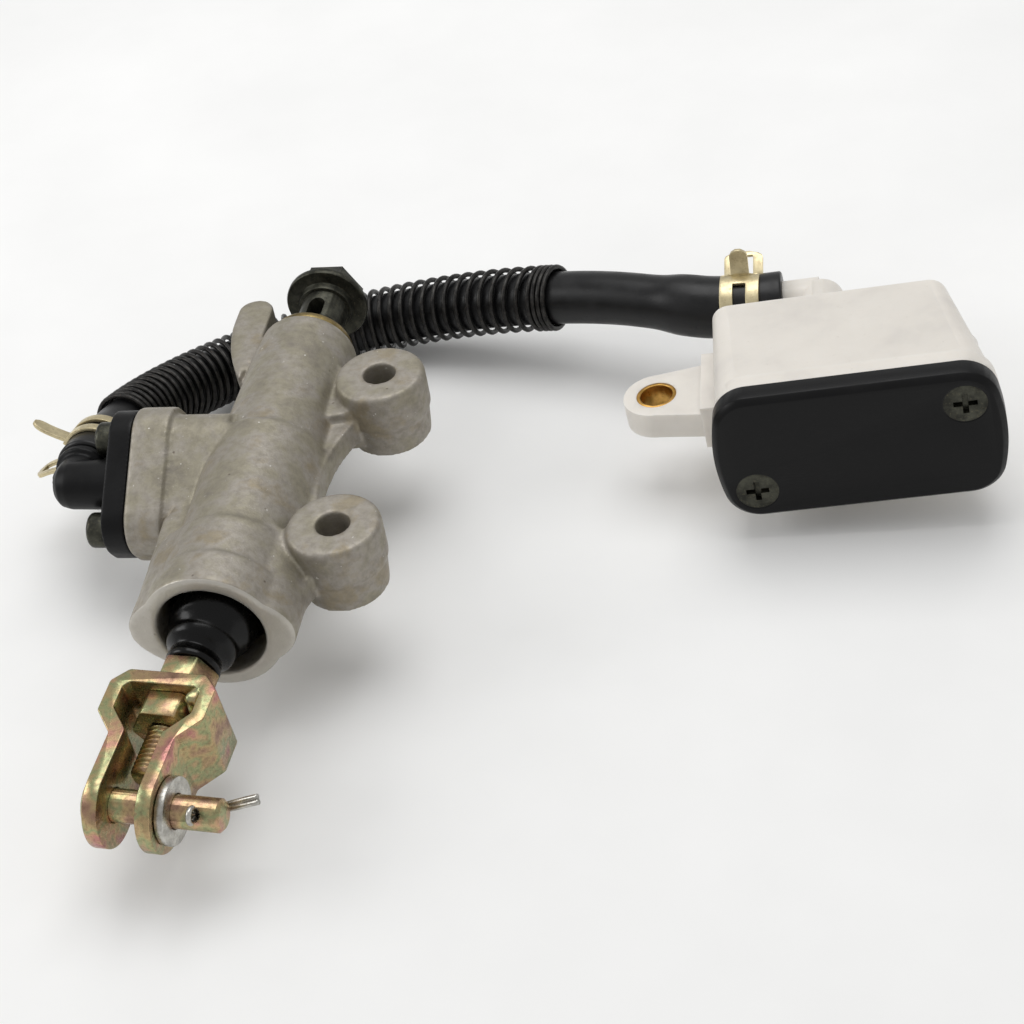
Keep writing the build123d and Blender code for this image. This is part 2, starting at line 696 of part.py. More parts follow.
lower_run = (ROUTE[1] - ROUTE[0]).normalized()
hose_clamp_lower = hose_clamp(ROUTE[0] + lower_run * 7.6, lower_run, 6.5, Vector(-1, 0, 0.1), 7.5)
save(hose_clamp_lower, "hose_clamp_lower")
upper_run = (ROUTE[-1] - ROUTE[-2]).normalized()
hose_clamp_upper = hose_clamp(ROUTE[-1] - upper_run * 6.2, upper_run, 7.6, Vector(0.2, 0.1, 1), 6.5)
save(hose_clamp_upper, "hose_clamp_upper")

# ---------------------------------------------------------------- reservoir
FLANGE_W = -CAP_THICK - FIT
FLANGE_T = 3.6
STEP_W = -21.5


def bowed_outline(half_long, half_wide, corner, bow):
    """Sketch of a rectangle whose short ends bow outwards, with rounded corners."""
    with BuildSketch() as outline:
        with BuildLine():
            top = Line((-half_long, half_wide), (half_long, half_wide))
            right = ThreePointArc(top @ 1, (half_long + bow, 0), (half_long, -half_wide))
            bottom = Line(right @ 1, (-half_long, -half_wide))
            ThreePointArc(bottom @ 1, (-half_long - bow, 0), top @ 0)
        make_face()
        fillet(outline.vertices(), corner)
    return outline.sketch


with BuildPart() as reservoir_cap:
    with BuildSketch(TANK):
        add(bowed_outline(CAP_HALF, CAP_HALF_WIDE, CAP_CORNER, CAP_BOW))
    extrude(amount=-CAP_THICK)
    face_rim = reservoir_cap.faces().sort_by(Axis(CAP_CENTRE, TANK_N))[-1].edges()
    chamfer(face_rim, 1.1)
    # pocket for the diaphragm and its plate
    with BuildSketch(TANK.offset(-CAP_THICK)):
        add(bowed_outline(CAP_HALF - 2, CAP_HALF_WIDE - 2, CAP_CORNER, CAP_BOW))
    extrude(amount=2.5, mode=Mode.SUBTRACT)
    with BuildSketch(TANK.offset(1)):
        with Locations((-SCREW_U, -SCREW_V), (SCREW_U, SCREW_V)):
            Circle(2.2)
    extrude(amount=-8, mode=Mode.SUBTRACT)
    for u, v in ((-SCREW_U, -SCREW_V), (SCREW_U, SCREW_V)):
        with BuildSketch(TANK):
            with Locations((u, v)):
                Circle(4.25)
        extrude(amount=-2.05, taper=45, mode=Mode.SUBTRACT)
save(reservoir_cap, "reservoir_cap")

BACK_LONG = 45.9
BACK_WIDE = 26.3
BACK_SHIFT = -3.8
EAR_R = 6.6
EAR_BORE_R = 4.0
EAR_TOP = 2.6
EAR_T = 5.5
LEG_R = 4.6


with BuildPart() as reservoir_tank:
    with BuildSketch(TANK.offset(FLANGE_W)):
        add(bowed_outline(CAP_HALF - 0.3, CAP_HALF_WIDE - 0.3, CAP_CORNER, CAP_BOW))
    extrude(amount=-FLANGE_T)
    for at, long, wide, corner, shift in (
        (FLANGE_W - 1, 2 * CAP_HALF + 2.6, 2 * CAP_HALF_WIDE - 2.4, 5.0, 0),
        (-TANK_DEPTH, BACK_LONG, BACK_WIDE - 0.6, 3.5, BACK_SHIFT),
    ):
        with BuildSketch(TANK.offset(at)):
            with Locations((shift, 0)):
                RectangleRounded(long, wide, corner)
    loft()
    # small foot at the tank's floor
    with BuildSketch(TANK.offset(-TANK_DEPTH)):
        with Locations((BACK_SHIFT, 0)):
            RectangleRounded(BACK_LONG - 6, BACK_WIDE - 6, 2.5)
    extrude(amount=-1.2)
    # mounting ear: an eye and a stepped root
    with BuildSketch(Plane(origin=CAP_CENTRE + TANK_V * EAR_TOP, x_dir=TANK_U, z_dir=TANK_V)):
        with BuildLine():
            ear_top = Line((-CAP_HALF + 2, -EAR_W - 9.2), (EAR_U, -EAR_W - EAR_R))
            ear_end = ThreePointArc(ear_top @ 1, (EAR_U - EAR_R, -EAR_W), (EAR_U, -EAR_W + EAR_R))
            ear_low = Line(ear_end @ 1, (-CAP_HALF + 2, -EAR_W + 9.2))
            Line(ear_low @ 1, ear_top @ 0)
        make_face()
    extrude(amount=-EAR_T)
    with BuildSketch(TANK.offset(EAR_W - 9)):
        with Locations((-CAP_HALF - 1.4, EAR_TOP - EAR_T / 2)):
            Rectangle(7, EAR_T + 4)
    extrude(amount=18)
    # outlet leg that carries the spigot
    with BuildSketch(Plane(origin=SPIGOT_CORNER, x_dir=TANK_U, z_dir=TANK_N)):
        Circle(LEG_R)
    extrude(amount=-SPIGOT_W - TANK_DEPTH + 1)
    with BuildSketch(Plane(origin=SPIGOT_CORNER, x_dir=TANK_U, z_dir=TANK_N)):
        Circle(LEG_R)
    extrude(amount=LEG_R - 0.5, taper=30)
    with BuildSketch(Plane(origin=SPIGOT_CORNER, x_dir=TANK_N, z_dir=TANK_U * -1)):
        Circle(LEG_R - 0.3)
    extrude(amount=HOSE_END_OUT - FIT)
    with BuildSketch(Plane(origin=SPIGOT_CORNER, x_dir=TANK_N, z_dir=TANK_U * -1)):
        Circle(HOSE_BORE_R - 0.2)
    extrude(amount=HOSE_END_OUT + 9)
    # hollow inside, and the fluid passage
    for at, long, wide, corner, shift in (
        (FLANGE_W + 0.1, 2 * CAP_HALF - 1.2, 2 * CAP_HALF_WIDE - 6.2, 4.0, 0),
        (-TANK_DEPTH + TANK_WALL, BACK_LONG - 3.8, BACK_WIDE - 4.4, 2.5, BACK_SHIFT),
    ):
        with BuildSketch(TANK.offset(at)):
            with Locations((shift, 0)):
                RectangleRounded(long, wide, corner)
    loft(mode=Mode.SUBTRACT)
    with BuildSketch(Plane(origin=SPIGOT_CORNER, x_dir=TANK_U, z_dir=TANK_N)):
        Circle(2.4)
    extrude(amount=-SPIGOT_W - TANK_DEPTH + 3, mode=Mode.SUBTRACT)
    with BuildSketch(Plane(origin=SPIGOT_CORNER, x_dir=TANK_N, z_dir=TANK_U * -1)):
        Circle(2.4)
    extrude(amount=HOSE_END_OUT + 10, mode=Mode.SUBTRACT)
    with BuildSketch(Plane(origin=CAP_CENTRE + TANK_V * 9, x_dir=TANK_U, z_dir=TANK_V)):
        with Locations((EAR_U, -EAR_W)):
            Circle(EAR_BORE_R)
    extrude(amount=-20, mode=Mode.SUBTRACT)
    # screw pillars inside two corners
    with BuildSketch(TANK.offset(FLANGE_W)):
        with Locations((-SCREW_U, -SCREW_V), (SCREW_U, SCREW_V)):
            Circle(3.6)
    extrude(amount=-13)
    with BuildSketch(TANK.offset(FLANGE_W + 1)):
        with Locations((-SCREW_U, -SCREW_V), (SCREW_U, SCREW_V)):
            Circle(1.95)
    extrude(amount=-13, mode=Mode.SUBTRACT)
save(reservoir_tank, "reservoir_tank")

BUSH_R = 3.2
EAR_CENTRE = CAP_CENTRE + TANK_U * EAR_U + TANK_N * EAR_W
with BuildPart() as tank_bush:
    with BuildSketch(Plane(origin=EAR_CENTRE + TANK_V * EAR_TOP, x_dir=TANK_U, z_dir=TANK_V)):
        Circle(EAR_BORE_R - 0.01)
        Circle(BUSH_R, mode=Mode.SUBTRACT)
    extrude(amount=-EAR_T)
save(tank_bush, "tank_bush")

with BuildPart() as cap_screws:
    with BuildSketch(TANK.offset(-0.15)):
        with Locations((-SCREW_U, -SCREW_V), (SCREW_U, SCREW_V)):
            Circle(4.1)
    extrude(amount=-2.05, taper=45)
    with BuildSketch(TANK.offset(-0.15)):
        with Locations((-SCREW_U, -SCREW_V), (SCREW_U, SCREW_V)):
            Circle(1.95)
    extrude(amount=-13.5)
    with BuildSketch(TANK):
        for side in (-1, 1):
            with Locations((side * SCREW_U, side * SCREW_V)):
                Rectangle(4.4, 1.1)
                Rectangle(1.1, 4.4)
    extrude(amount=-1.5, mode=Mode.SUBTRACT)
save(cap_screws, "cap_screws")

with BuildPart() as diaphragm:
    with BuildSketch(TANK.offset(-CAP_THICK)):
        add(bowed_outline(CAP_HALF - 2.2, CAP_HALF_WIDE - 2.2, CAP_CORNER, CAP_BOW))
        with Locations((-SCREW_U, -SCREW_V), (SCREW_U, SCREW_V)):
            Circle(2.3, mode=Mode.SUBTRACT)
    extrude(amount=1.2)
    with BuildSketch(TANK.offset(-CAP_THICK + 0.5)):
        RectangleRounded(30, 13, 3)
    extrude(amount=-8, taper=8)
    with BuildSketch(TANK.offset(-CAP_THICK + 1.2)):
        RectangleRounded(27.6, 10.6, 2)
    extrude(amount=-7.4, taper=8, mode=Mode.SUBTRACT)
save(diaphragm, "diaphragm")

with BuildPart() as diaphragm_plate:
    with BuildSketch(TANK.offset(-CAP_THICK + 1.25)):
        add(bowed_outline(CAP_HALF - 2.4, CAP_HALF_WIDE - 2.4, CAP_CORNER, CAP_BOW))
        RectangleRounded(26, 10, 2, mode=Mode.SUBTRACT)
        with Locations((-SCREW_U, -SCREW_V), (SCREW_U, SCREW_V)):
            Circle(2.3, mode=Mode.SUBTRACT)
    extrude(amount=1.1)
save(diaphragm_plate, "diaphragm_plate")
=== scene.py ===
# %% [markdown]
# # A rear brake master cylinder
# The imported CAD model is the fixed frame: every moving body is already in its place.
# This lesson gives each piece the surface and the finish that the real one has.
# All lengths are in metres, in the frame of the CAD model: the origin is midway between
# the two mounting holes, +Y runs along the cylinder's bore and +Z along the holes.

# %% Load the frame
import json
import math

import bmesh
import bpy
import numpy as np
from mathutils import Matrix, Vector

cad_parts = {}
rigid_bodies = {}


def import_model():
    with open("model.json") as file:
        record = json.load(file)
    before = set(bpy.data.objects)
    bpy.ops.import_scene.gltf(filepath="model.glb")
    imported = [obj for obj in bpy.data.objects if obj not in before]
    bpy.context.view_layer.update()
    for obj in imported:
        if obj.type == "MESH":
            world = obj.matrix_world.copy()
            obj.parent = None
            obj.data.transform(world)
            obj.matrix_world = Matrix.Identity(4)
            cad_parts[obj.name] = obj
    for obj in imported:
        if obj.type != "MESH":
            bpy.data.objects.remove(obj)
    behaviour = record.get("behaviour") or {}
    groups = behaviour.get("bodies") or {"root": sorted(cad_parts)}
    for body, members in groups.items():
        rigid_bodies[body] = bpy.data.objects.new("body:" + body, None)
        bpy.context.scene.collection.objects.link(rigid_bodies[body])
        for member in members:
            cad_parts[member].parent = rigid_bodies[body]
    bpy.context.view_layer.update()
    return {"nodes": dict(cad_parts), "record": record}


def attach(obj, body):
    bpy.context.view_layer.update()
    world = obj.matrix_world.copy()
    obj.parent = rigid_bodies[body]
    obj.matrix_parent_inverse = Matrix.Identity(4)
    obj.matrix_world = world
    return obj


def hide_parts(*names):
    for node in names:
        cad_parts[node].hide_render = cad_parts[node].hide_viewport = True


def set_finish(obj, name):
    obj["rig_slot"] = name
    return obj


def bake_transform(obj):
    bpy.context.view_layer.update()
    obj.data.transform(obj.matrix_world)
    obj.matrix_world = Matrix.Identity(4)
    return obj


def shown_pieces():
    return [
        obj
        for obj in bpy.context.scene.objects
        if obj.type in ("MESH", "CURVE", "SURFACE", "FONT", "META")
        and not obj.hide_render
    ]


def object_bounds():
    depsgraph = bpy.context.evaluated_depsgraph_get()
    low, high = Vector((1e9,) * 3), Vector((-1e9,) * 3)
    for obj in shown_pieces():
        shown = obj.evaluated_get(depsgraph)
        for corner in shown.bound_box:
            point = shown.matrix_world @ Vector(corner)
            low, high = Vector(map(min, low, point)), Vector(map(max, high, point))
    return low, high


for leftover in list(bpy.data.objects):
    bpy.data.objects.remove(leftover)
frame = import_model()

# %% [markdown]
# ## Camera
# A short telephoto looks down at the part from in front and a little to its right.
# The camera is placed by two directions, its right and its down, because they can be
# checked against the part's own axes more easily than three turn angles can.

# %% Camera
MM = 0.001


def unit(v):
    """A vector, or each row of an array of vectors, divided by its length."""
    v = np.asarray(v, float)
    return v / np.linalg.norm(v, axis=-1, keepdims=True)


right = unit((0.979, 0.145, -0.1434))
down = np.array((-0.0138, -0.6545, -0.7559))
down = unit(down - right * (down @ right))
look = np.cross(right, down)
camera_data = bpy.data.cameras.new("camera")
camera_data.lens = 78.6
camera_data.sensor_width = 36
camera_data.clip_start = 0.01
camera = bpy.data.objects.new("camera", camera_data)
bpy.context.scene.collection.objects.link(camera)
turn = np.eye(4)
turn[:3, 0], turn[:3, 1], turn[:3, 2] = right, -down, -look
turn[:3, 3] = (0.11497, -0.31878, 0.27189)
camera.matrix_world = Matrix(turn.tolist())
bpy.context.scene.camera = camera
print("camera looks along", look.round(3))

# %% [markdown]
# ## Small tools
# A mesh is a grid of points: rows go along the piece and columns go round it. One
# function numbers the grid's quads, another puts points and quads into an object, and
# a third rides it on its body and names the CAD node that it stands for.

# %% Mesh tools
def grid_quads(rows, columns, wrap=True):
    """Corner numbers of every quad of a grid; wrap joins the last column to the first."""
    number = np.arange(rows * columns).reshape(rows, columns)
    if wrap:
        number = np.concatenate([number, number[:, :1]], axis=1)
    corners = (number[:-1, :-1], number[:-1, 1:], number[1:, 1:], number[1:, :-1])
    return np.stack(corners, axis=-1).reshape(-1, 4)


def mesh_object(name, points, faces, smooth=True):
    """Puts an array of points and a list of faces into a new object at the origin."""
    mesh = bpy.data.meshes.new(name)
    mesh.from_pydata(np.asarray(points).reshape(-1, 3).tolist(), [], [list(f) for f in faces])
    mesh.update()
    mesh.polygons.foreach_set("use_smooth", [smooth] * len(mesh.polygons))
    piece = bpy.data.objects.new(name, mesh)
    bpy.context.scene.collection.objects.link(piece)
    return piece


def outward(piece):
    """Turns every face of a closed surface outwards."""
    work = bmesh.new()
    work.from_mesh(piece.data)
    bmesh.ops.remove_doubles(work, verts=work.verts, dist=1e-6)
    bmesh.ops.recalc_face_normals(work, faces=work.faces)
    work.to_mesh(piece.data)
    work.free()
    return piece


def settle(piece, body, slot, node=None):
    """Rides a piece on its body, names its finish, and hides the CAD node it stands for."""
    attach(piece, body)
    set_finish(piece, slot)
    if node:
        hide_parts(node)
    return piece


BODY_OF = {
    node: body
    for body, members in frame["record"]["behaviour"]["bodies"].items()
    for node in members
}
SLOT_OF = {s["node"]: s["material_slot"] for s in frame["record"]["subparts"]}

# %% [markdown]
# ## The hose and its route
# The hose is a round rubber tube pushed over two nipples. Its line is a smooth spline
# with few control points, because a thick hose bends slowly. A bevelled curve would
# do, but a mesh tube read from that spline can also swell where a nipple fills it and
# show its cut end.

# %% Hose
ROUTE = MM * np.array(
    [
        (-59.2, 6.321, 4.926),
        (-59.2, 17.819, 2.272),
        (-58.0, 28.9, -0.8),
        (-54.8, 39.2, -3.7),
        (-49.6, 48.9, -6.2),
        (-42.6, 57.4, -7.9),
        (-34.2, 64.3, -8.8),
        (-24.6, 69.2, -8.9),
        (-13.8, 71.8, -7.8),
        (-2.0, 72.0, -5.7),
        (11.2, 70.2, -2.8),
        (25.3, 67.2, 0.0),
        (40.0, 63.4, 2.3),
        (53.2, 59.2, 3.1),
        (65.452, 56.669, 2.890),
        (76.998, 57.423, 3.726),
    ]
)
HOSE_R = 5.6 * MM


def route_line():
    """Points along a NURBS curve through the route, as a curve with no bevel gives them."""
    data = bpy.data.curves.new("route", "CURVE")
    data.dimensions = "3D"
    data.resolution_u = 16
    spline = data.splines.new("NURBS")
    spline.points.add(len(ROUTE) - 1)
    spline.points.foreach_set("co", np.column_stack([ROUTE, np.ones(len(ROUTE))]).ravel())
    spline.order_u = 3
    spline.use_endpoint_u = True
    curve = bpy.data.objects.new("route", data)
    bpy.context.scene.collection.objects.link(curve)
    bpy.context.view_layer.update()
    seen = curve.evaluated_get(bpy.context.evaluated_depsgraph_get())
    mesh = bpy.data.meshes.new_from_object(seen)
    points = np.zeros(len(mesh.vertices) * 3)
    mesh.vertices.foreach_get("co", points)
    bpy.data.objects.remove(curve)
    return points.reshape(-1, 3)


LINE = route_line()
LINE_AT = np.concatenate([[0], np.cumsum(np.linalg.norm(np.diff(LINE, axis=0), axis=1))])
print("hose length", round(LINE_AT[-1] * 1000, 1), "mm")


def along_hose(s):
    """Centre, direction, side and up at distances s along the hose's own line."""
    s = np.asarray(s, float)
    centre = np.stack([np.interp(s, LINE_AT, LINE[:, k]) for k in range(3)], axis=-1)
    step = 1.5 * MM
    ahead = np.stack([np.interp(s + step, LINE_AT, LINE[:, k]) for k in range(3)], axis=-1)
    behind = np.stack([np.interp(s - step, LINE_AT, LINE[:, k]) for k in range(3)], axis=-1)
    direction = unit(ahead - behind)
    side = unit(np.cross(direction, (0, 0, 1.0)))
    return centre, direction, side, np.cross(side, direction)


# %% Hose surface
def hose_surface(columns=56):
    """Outer wall, cut end and bore as one closed grid: centre(s) + R(s)(cos a side + sin a up).

    R swells over each nipple, and the upper clamp squeezes that swelling a little.
    """
    length = LINE_AT[-1]
    s = np.linspace(0.3 * MM, length - 0.3 * MM, 420)
    near = 0.60 * np.exp(-(((s - 4.0 * MM) / (9.5 * MM)) ** 4))
    far = 0.85 / (1 + np.exp(-(s - length + 24.0 * MM) / (1.3 * MM)))
    squeeze = np.exp(-(((s - length + 8.0 * MM) / (3.2 * MM)) ** 4))
    far = far - 0.25 * squeeze
    radius = HOSE_R + MM * (near + far)
    station = np.concatenate([[0], s, [length], [length], s[::-14], [0]])
    inside = np.full(len(s[::-14]), 3.85 * MM)
    mouth = [4.1 * MM]
    radii = np.concatenate([[HOSE_R], radius, [HOSE_R + 0.6 * MM], mouth, inside, mouth])
    centre, _, side, up = along_hose(station)
    angle = np.linspace(0, 2 * math.pi, columns + 1)[:-1]
    ring = np.cos(angle)[None, :, None] * side[:, None] + np.sin(angle)[None, :, None] * up[:, None]
    points = centre[:, None] + radii[:, None, None] * ring
    rows = len(station)
    number = np.arange(rows * columns).reshape(rows, columns)
    number = np.concatenate([number, number[:1]], axis=0)
    number = np.concatenate([number, number[:, :1]], axis=1)
    faces = np.stack([number[:-1, :-1], number[:-1, 1:], number[1:, 1:], number[1:, :-1]], axis=-1)
    return outward(mesh_object("hose", points, faces.reshape(-1, 4)))


hose = settle(hose_surface(), "housing", "hose_rubber", "reservoir_hose")
print("hose faces", len(hose.data.polygons))

# %% [markdown]
# ## The guard spring
# A steel wire wound round the hose keeps it from chafing. The wire is a circle carried
# along a helix, and the helix follows the hose's line. Its pitch opens slowly along
# the hose and closes up to touching coils at the far end.

# %% Guard spring
WIRE_R = 0.55 * MM
COIL_R = 6.55 * MM
GUARD = (21.0 * MM, 133.0 * MM)


def guard_spring():
    """Wire of radius r round a helix: centre + R(cos p side + sin p up), p = 2 pi turns."""
    s = np.linspace(*GUARD, 2400)
    share = (s - GUARD[0]) / (GUARD[1] - GUARD[0])
    pitch = np.interp(share, (0, 0.02, 0.3, 0.955, 0.965, 1), (1.2, 1.9, 2.2, 3.1, 1.2, 1.15)) * MM
    turns = np.concatenate([[0], np.cumsum(np.diff(s) / pitch[1:])])
    phase = 2 * math.pi * turns
    even = np.linspace(0, phase[-1], int(phase[-1] / (2 * math.pi) * 36))
    s = np.interp(even, phase, s)
    centre, _, side, up = along_hose(s)
    spoke = np.cos(even)[:, None] * side + np.sin(even)[:, None] * up
    wire = centre + COIL_R * spoke
    tangent = unit(np.gradient(wire, axis=0))
    spoke = unit(spoke - tangent * np.sum(spoke * tangent, axis=1, keepdims=True))
    other = np.cross(tangent, spoke)
    a = np.linspace(0, 2 * math.pi, 9)[:-1]
    points = wire[:, None] + WIRE_R * (
        np.cos(a)[None, :, None] * spoke[:, None] + np.sin(a)[None, :, None] * other[:, None]
    )
    rows = len(wire)
    faces = grid_quads(rows, 8).tolist() + [list(range(8)), list(range(rows * 8 - 8, rows * 8))]
    return outward(mesh_object("guard_spring", points, faces)), turns[-1]


guard, coils = guard_spring()
settle(guard, "housing", "spring_steel", "hose_guard_spring")
print("guard spring coils:", round(coils, 1))

# %% [markdown]
# ## The two hose clamps
# Each clamp is one springy steel strip bent into a ring, with an ear at either end. One
# ear is narrow and passes through a window in the other, so squeezing both ears opens
# the ring. The strip is a flat ribbon carried round the ring; Solidify thickens it.

# %% Clamps
def clamp_ribbon(at, facing, ring_r, wide, ear, ear_narrow, window):
    """Ribbon whose path is an ear, almost a full ring, and an ear; width runs along the hose.

    The ring is ring_r from the hose's line; the ears leave it radially and lean apart.
    """
    centre, direction, _, _ = (v[0] for v in along_hose([at]))
    out = unit(np.asarray(facing, float) - direction * np.dot(facing, direction))
    across = np.cross(direction, out)
    lean = math.radians(24)
    angle = np.linspace(lean, 2 * math.pi - lean, 61)
    ring = ring_r * np.stack([np.cos(angle), np.sin(angle)], axis=1)
    climb = np.linspace(0, ear, 13)[1:]
    spread = 0.30 * climb + 0.9 * MM * (climb / ear) ** 3
    first = ring[0] + np.stack([climb, spread], axis=1)
    last = ring[-1] + np.stack([climb, -spread], axis=1)
    path = np.concatenate([first[::-1], ring, last])
    n = len(path)
    reach = np.concatenate([climb[::-1], np.zeros(61), climb]) / ear
    tip = np.sqrt(np.clip(1 - np.clip((reach - 0.72) / 0.28, 0, 1) ** 2.4, 0.08, 1))
    narrow = np.where(np.arange(n) < n / 2, np.interp(reach, (0, 0.06), (1, ear_narrow)), 1.0)
    half = 0.5 * wide * tip * narrow
    v = np.linspace(-1, 1, 13)
    points = (
        centre
        + path[:, None, :1] * out
        + path[:, None, 1:] * across
        + (half[:, None] * v[None, :])[:, :, None] * direction
    )
    faces = grid_quads(n, 13, wrap=False)
    row, column = np.divmod(np.arange(len(faces)), 12)
    mid_row = (row + 0.5) / n
    cut = np.zeros(len(faces), bool)
    for low, high, inner in window:
        cut |= (mid_row > low) & (mid_row < high) & (np.abs(column - 5.5) < inner * 6)
    return points, faces[~cut]


def hose_clamp(name, at, facing, ring_r, wide, ear, node):
    """Makes one clamp: its ribbon, a steel thickness and softly broken edges."""
    window = ((0.10, 0.155, 2.0), (0.86, 0.965, 0.52), (0.20, 0.36, 0.40), (0.62, 0.80, 0.40))
    window = window[1:]
    points, faces = clamp_ribbon(at, facing, ring_r, wide, ear, 0.46, window)
    piece = mesh_object(name, points, faces)
    thick = piece.modifiers.new("thickness", "SOLIDIFY")
    thick.thickness = 0.75 * MM
    thick.offset = 0
    edge = piece.modifiers.new("edges", "BEVEL")
    edge.width = 0.16 * MM
    edge.segments = 2
    return settle(piece, "housing", "clamp_steel", node)


CLAMPS = {
    # node: (name, distance along the hose, facing, ring radius, width, ear length)
    "hose_clamp_lower": ("lower_clamp", 7.6 * MM, (-1, 0, 0.1), 6.62 * MM, 6.4 * MM, 7.4 * MM),
    "hose_clamp_upper": (
        "upper_clamp", LINE_AT[-1] - 8.4 * MM, (0.35, 0.75, 1), 6.72 * MM, 8.0 * MM, 5.2 * MM
    ),
}
lower, upper = (hose_clamp(*settings, node) for node, settings in CLAMPS.items())

# %% [markdown]
# ## Cast and moulded pieces
# A casting has no sharp inner corner: metal needs a fillet wherever two walls meet. The
# CAD solid has plain corners, so a copy of it is rebuilt as a fine, even skin and then
# relaxed, which rounds every edge by about a wall's fillet and leaves flat faces flat.

# %% Rounded copies
def merged_copy(name, node):
    """New object with the CAD node's mesh, its loose triangles joined into one skin."""
    source = frame["nodes"][node]
    mesh = source.data.copy()
    mesh.name = name
    mesh.materials.clear()
    work = bmesh.new()
    work.from_mesh(mesh)
    bmesh.ops.remove_doubles(work, verts=work.verts, dist=2e-6)
    work.to_mesh(mesh)
    work.free()
    piece = bpy.data.objects.new(name, mesh)
    bpy.context.scene.collection.objects.link(piece)
    return piece


def cast_copy(name, node, voxel, rounds):
    """Even skin of squares the size of voxel, then relaxed: each point moves to its neighbours' mean."""
    piece = merged_copy(name, node)
    skin = piece.modifiers.new("skin", "REMESH")
    skin.mode = "VOXEL"
    skin.voxel_size = voxel
    relax = piece.modifiers.new("relax", "SMOOTH")
    relax.factor = 0.5
    relax.iterations = rounds
    bpy.context.view_layer.update()
    mesh = bpy.data.meshes.new_from_object(
        piece.evaluated_get(bpy.context.evaluated_depsgraph_get())
    )
    piece.modifiers.clear()
    piece.data = mesh
    mesh.polygons.foreach_set("use_smooth", [True] * len(mesh.polygons))
    print(name, "faces", len(mesh.polygons))
    return settle(piece, BODY_OF[node], SLOT_OF[node], node)


body = cast_copy("cast_body", "cylinder_body", 0.42 * MM, 7)
connector = cast_copy("connector", "inlet_connector", 0.28 * MM, 5)

# %% [markdown]
# ## Turned, bent and pressed pieces
# A machined edge is broken by a small bevel, and light on that bevel is what makes metal
# look real. Each copy is cleaned of the CAD's spare triangles, then given a Bevel
# modifier that acts only where two faces meet at a clear angle.

# %% Bevelled copies
def edged_copy(name, node, bevel, segments=2, angle=28):
    """Copy with flat faces made whole and every sharp edge bevelled by a real width."""
    piece = merged_copy(name, node)
    work = bmesh.new()
    work.from_mesh(piece.data)
    bmesh.ops.dissolve_limit(
        work, angle_limit=math.radians(0.6), verts=work.verts, edges=work.edges
    )
    work.to_mesh(piece.data)
    work.free()
    piece.data.polygons.foreach_set("use_smooth", [True] * len(piece.data.polygons))
    edge = piece.modifiers.new("broken edges", "BEVEL")
    edge.width = bevel
    edge.segments = segments
    edge.limit_method = "ANGLE"
    edge.angle_limit = math.radians(angle)
    edge.harden_normals = True
    return settle(piece, BODY_OF[node], SLOT_OF[node], node)


for name, node, bevel in (
    ("banjo_bolt_head", "banjo_bolt", 0.30),
    ("copper_washer", "crush_washer", 0.20),
    ("connector_screw_pair", "connector_screws", 0.15),
    ("lock_nut_hex", "lock_nut", 0.25),
    ("clevis_fork", "clevis", 0.50),
    ("clevis_nut_hex", "clevis_nut", 0.25),
    ("clevis_pin_headed", "clevis_pin", 0.25),
    ("pin_washer_flat", "pin_washer", 0.20),
    ("tank", "reservoir_tank", 0.55),
    ("bush", "tank_bush", 0.15),
    ("cap", "reservoir_cap", 0.35),
    ("cap_screw_pair", "cap_screws", 0.12),
):
    edged_copy(name, node, bevel * MM)
print("bevelled copies made")

# %% [markdown]
# ## The pushrod and its thread
# The pushrod is a steel rod with a ball at one end and an M6 thread at the other. A
# thread is a cylinder whose radius rises and falls with the turn angle plus the
# distance, so a lathe grid makes it when each point's radius knows both.

# %% Pushrod
BALL = MM * np.array((-20.0, -24.8, 6.5))
YAW, DROOP = math.radians(6), math.radians(6)
ROD = np.array(
    (-math.sin(YAW) * math.cos(DROOP), -math.cos(YAW) * math.cos(DROOP), -math.sin(DROOP))
)
PIN = np.array((math.cos(YAW), -math.sin(YAW), 0.0))
ROD_UP = np.cross(ROD, PIN)


def lathe(name, base, axis, reference, profile, columns=64, thread=None, closed=False):
    """Turns a profile of (along, radius) about an axis: base + along axis + radius (cos, sin).

    A thread is (start, end, pitch, depth): inside it the radius falls by depth times a
    triangle wave of along / pitch minus angle / 2 pi.
    """
    profile = np.asarray(profile, float) * MM
    angle = np.linspace(0, 2 * math.pi, columns + 1)[:-1]
    along, radius = profile[:, 0][:, None], profile[:, 1][:, None]
    radius = np.repeat(radius, columns, axis=1)
    if thread:
        start, end, pitch, depth = (x * MM for x in thread)
        wave = np.abs(((along / pitch - angle / (2 * math.pi)) % 1) * 2 - 1)
        inside = np.clip((along - start) / pitch, 0, 1) * np.clip((end - along) / pitch, 0, 1)
        radius = radius - depth * np.clip(wave * 1.25 - 0.12, 0, 1) * inside
    first = unit(reference - axis * np.dot(reference, axis))
    second = np.cross(axis, first)
    spoke = np.cos(angle)[:, None] * first + np.sin(angle)[:, None] * second
    points = base + along[:, :, None] * axis + radius[:, :, None] * spoke[None]
    rows = len(profile)
    faces = grid_quads(rows, columns).tolist()
    if closed:
        number = np.arange(rows * columns).reshape(rows, columns)[[-1, 0]]
        number = np.concatenate([number, number[:, :1]], axis=1)
        joint = (number[0, :-1], number[0, 1:], number[1, 1:], number[1, :-1])
        faces += np.stack(joint, axis=-1).tolist()
    else:
        faces += [list(range(columns)), list(range((rows - 1) * columns, rows * columns))]
    return outward(mesh_object(name, points, faces))


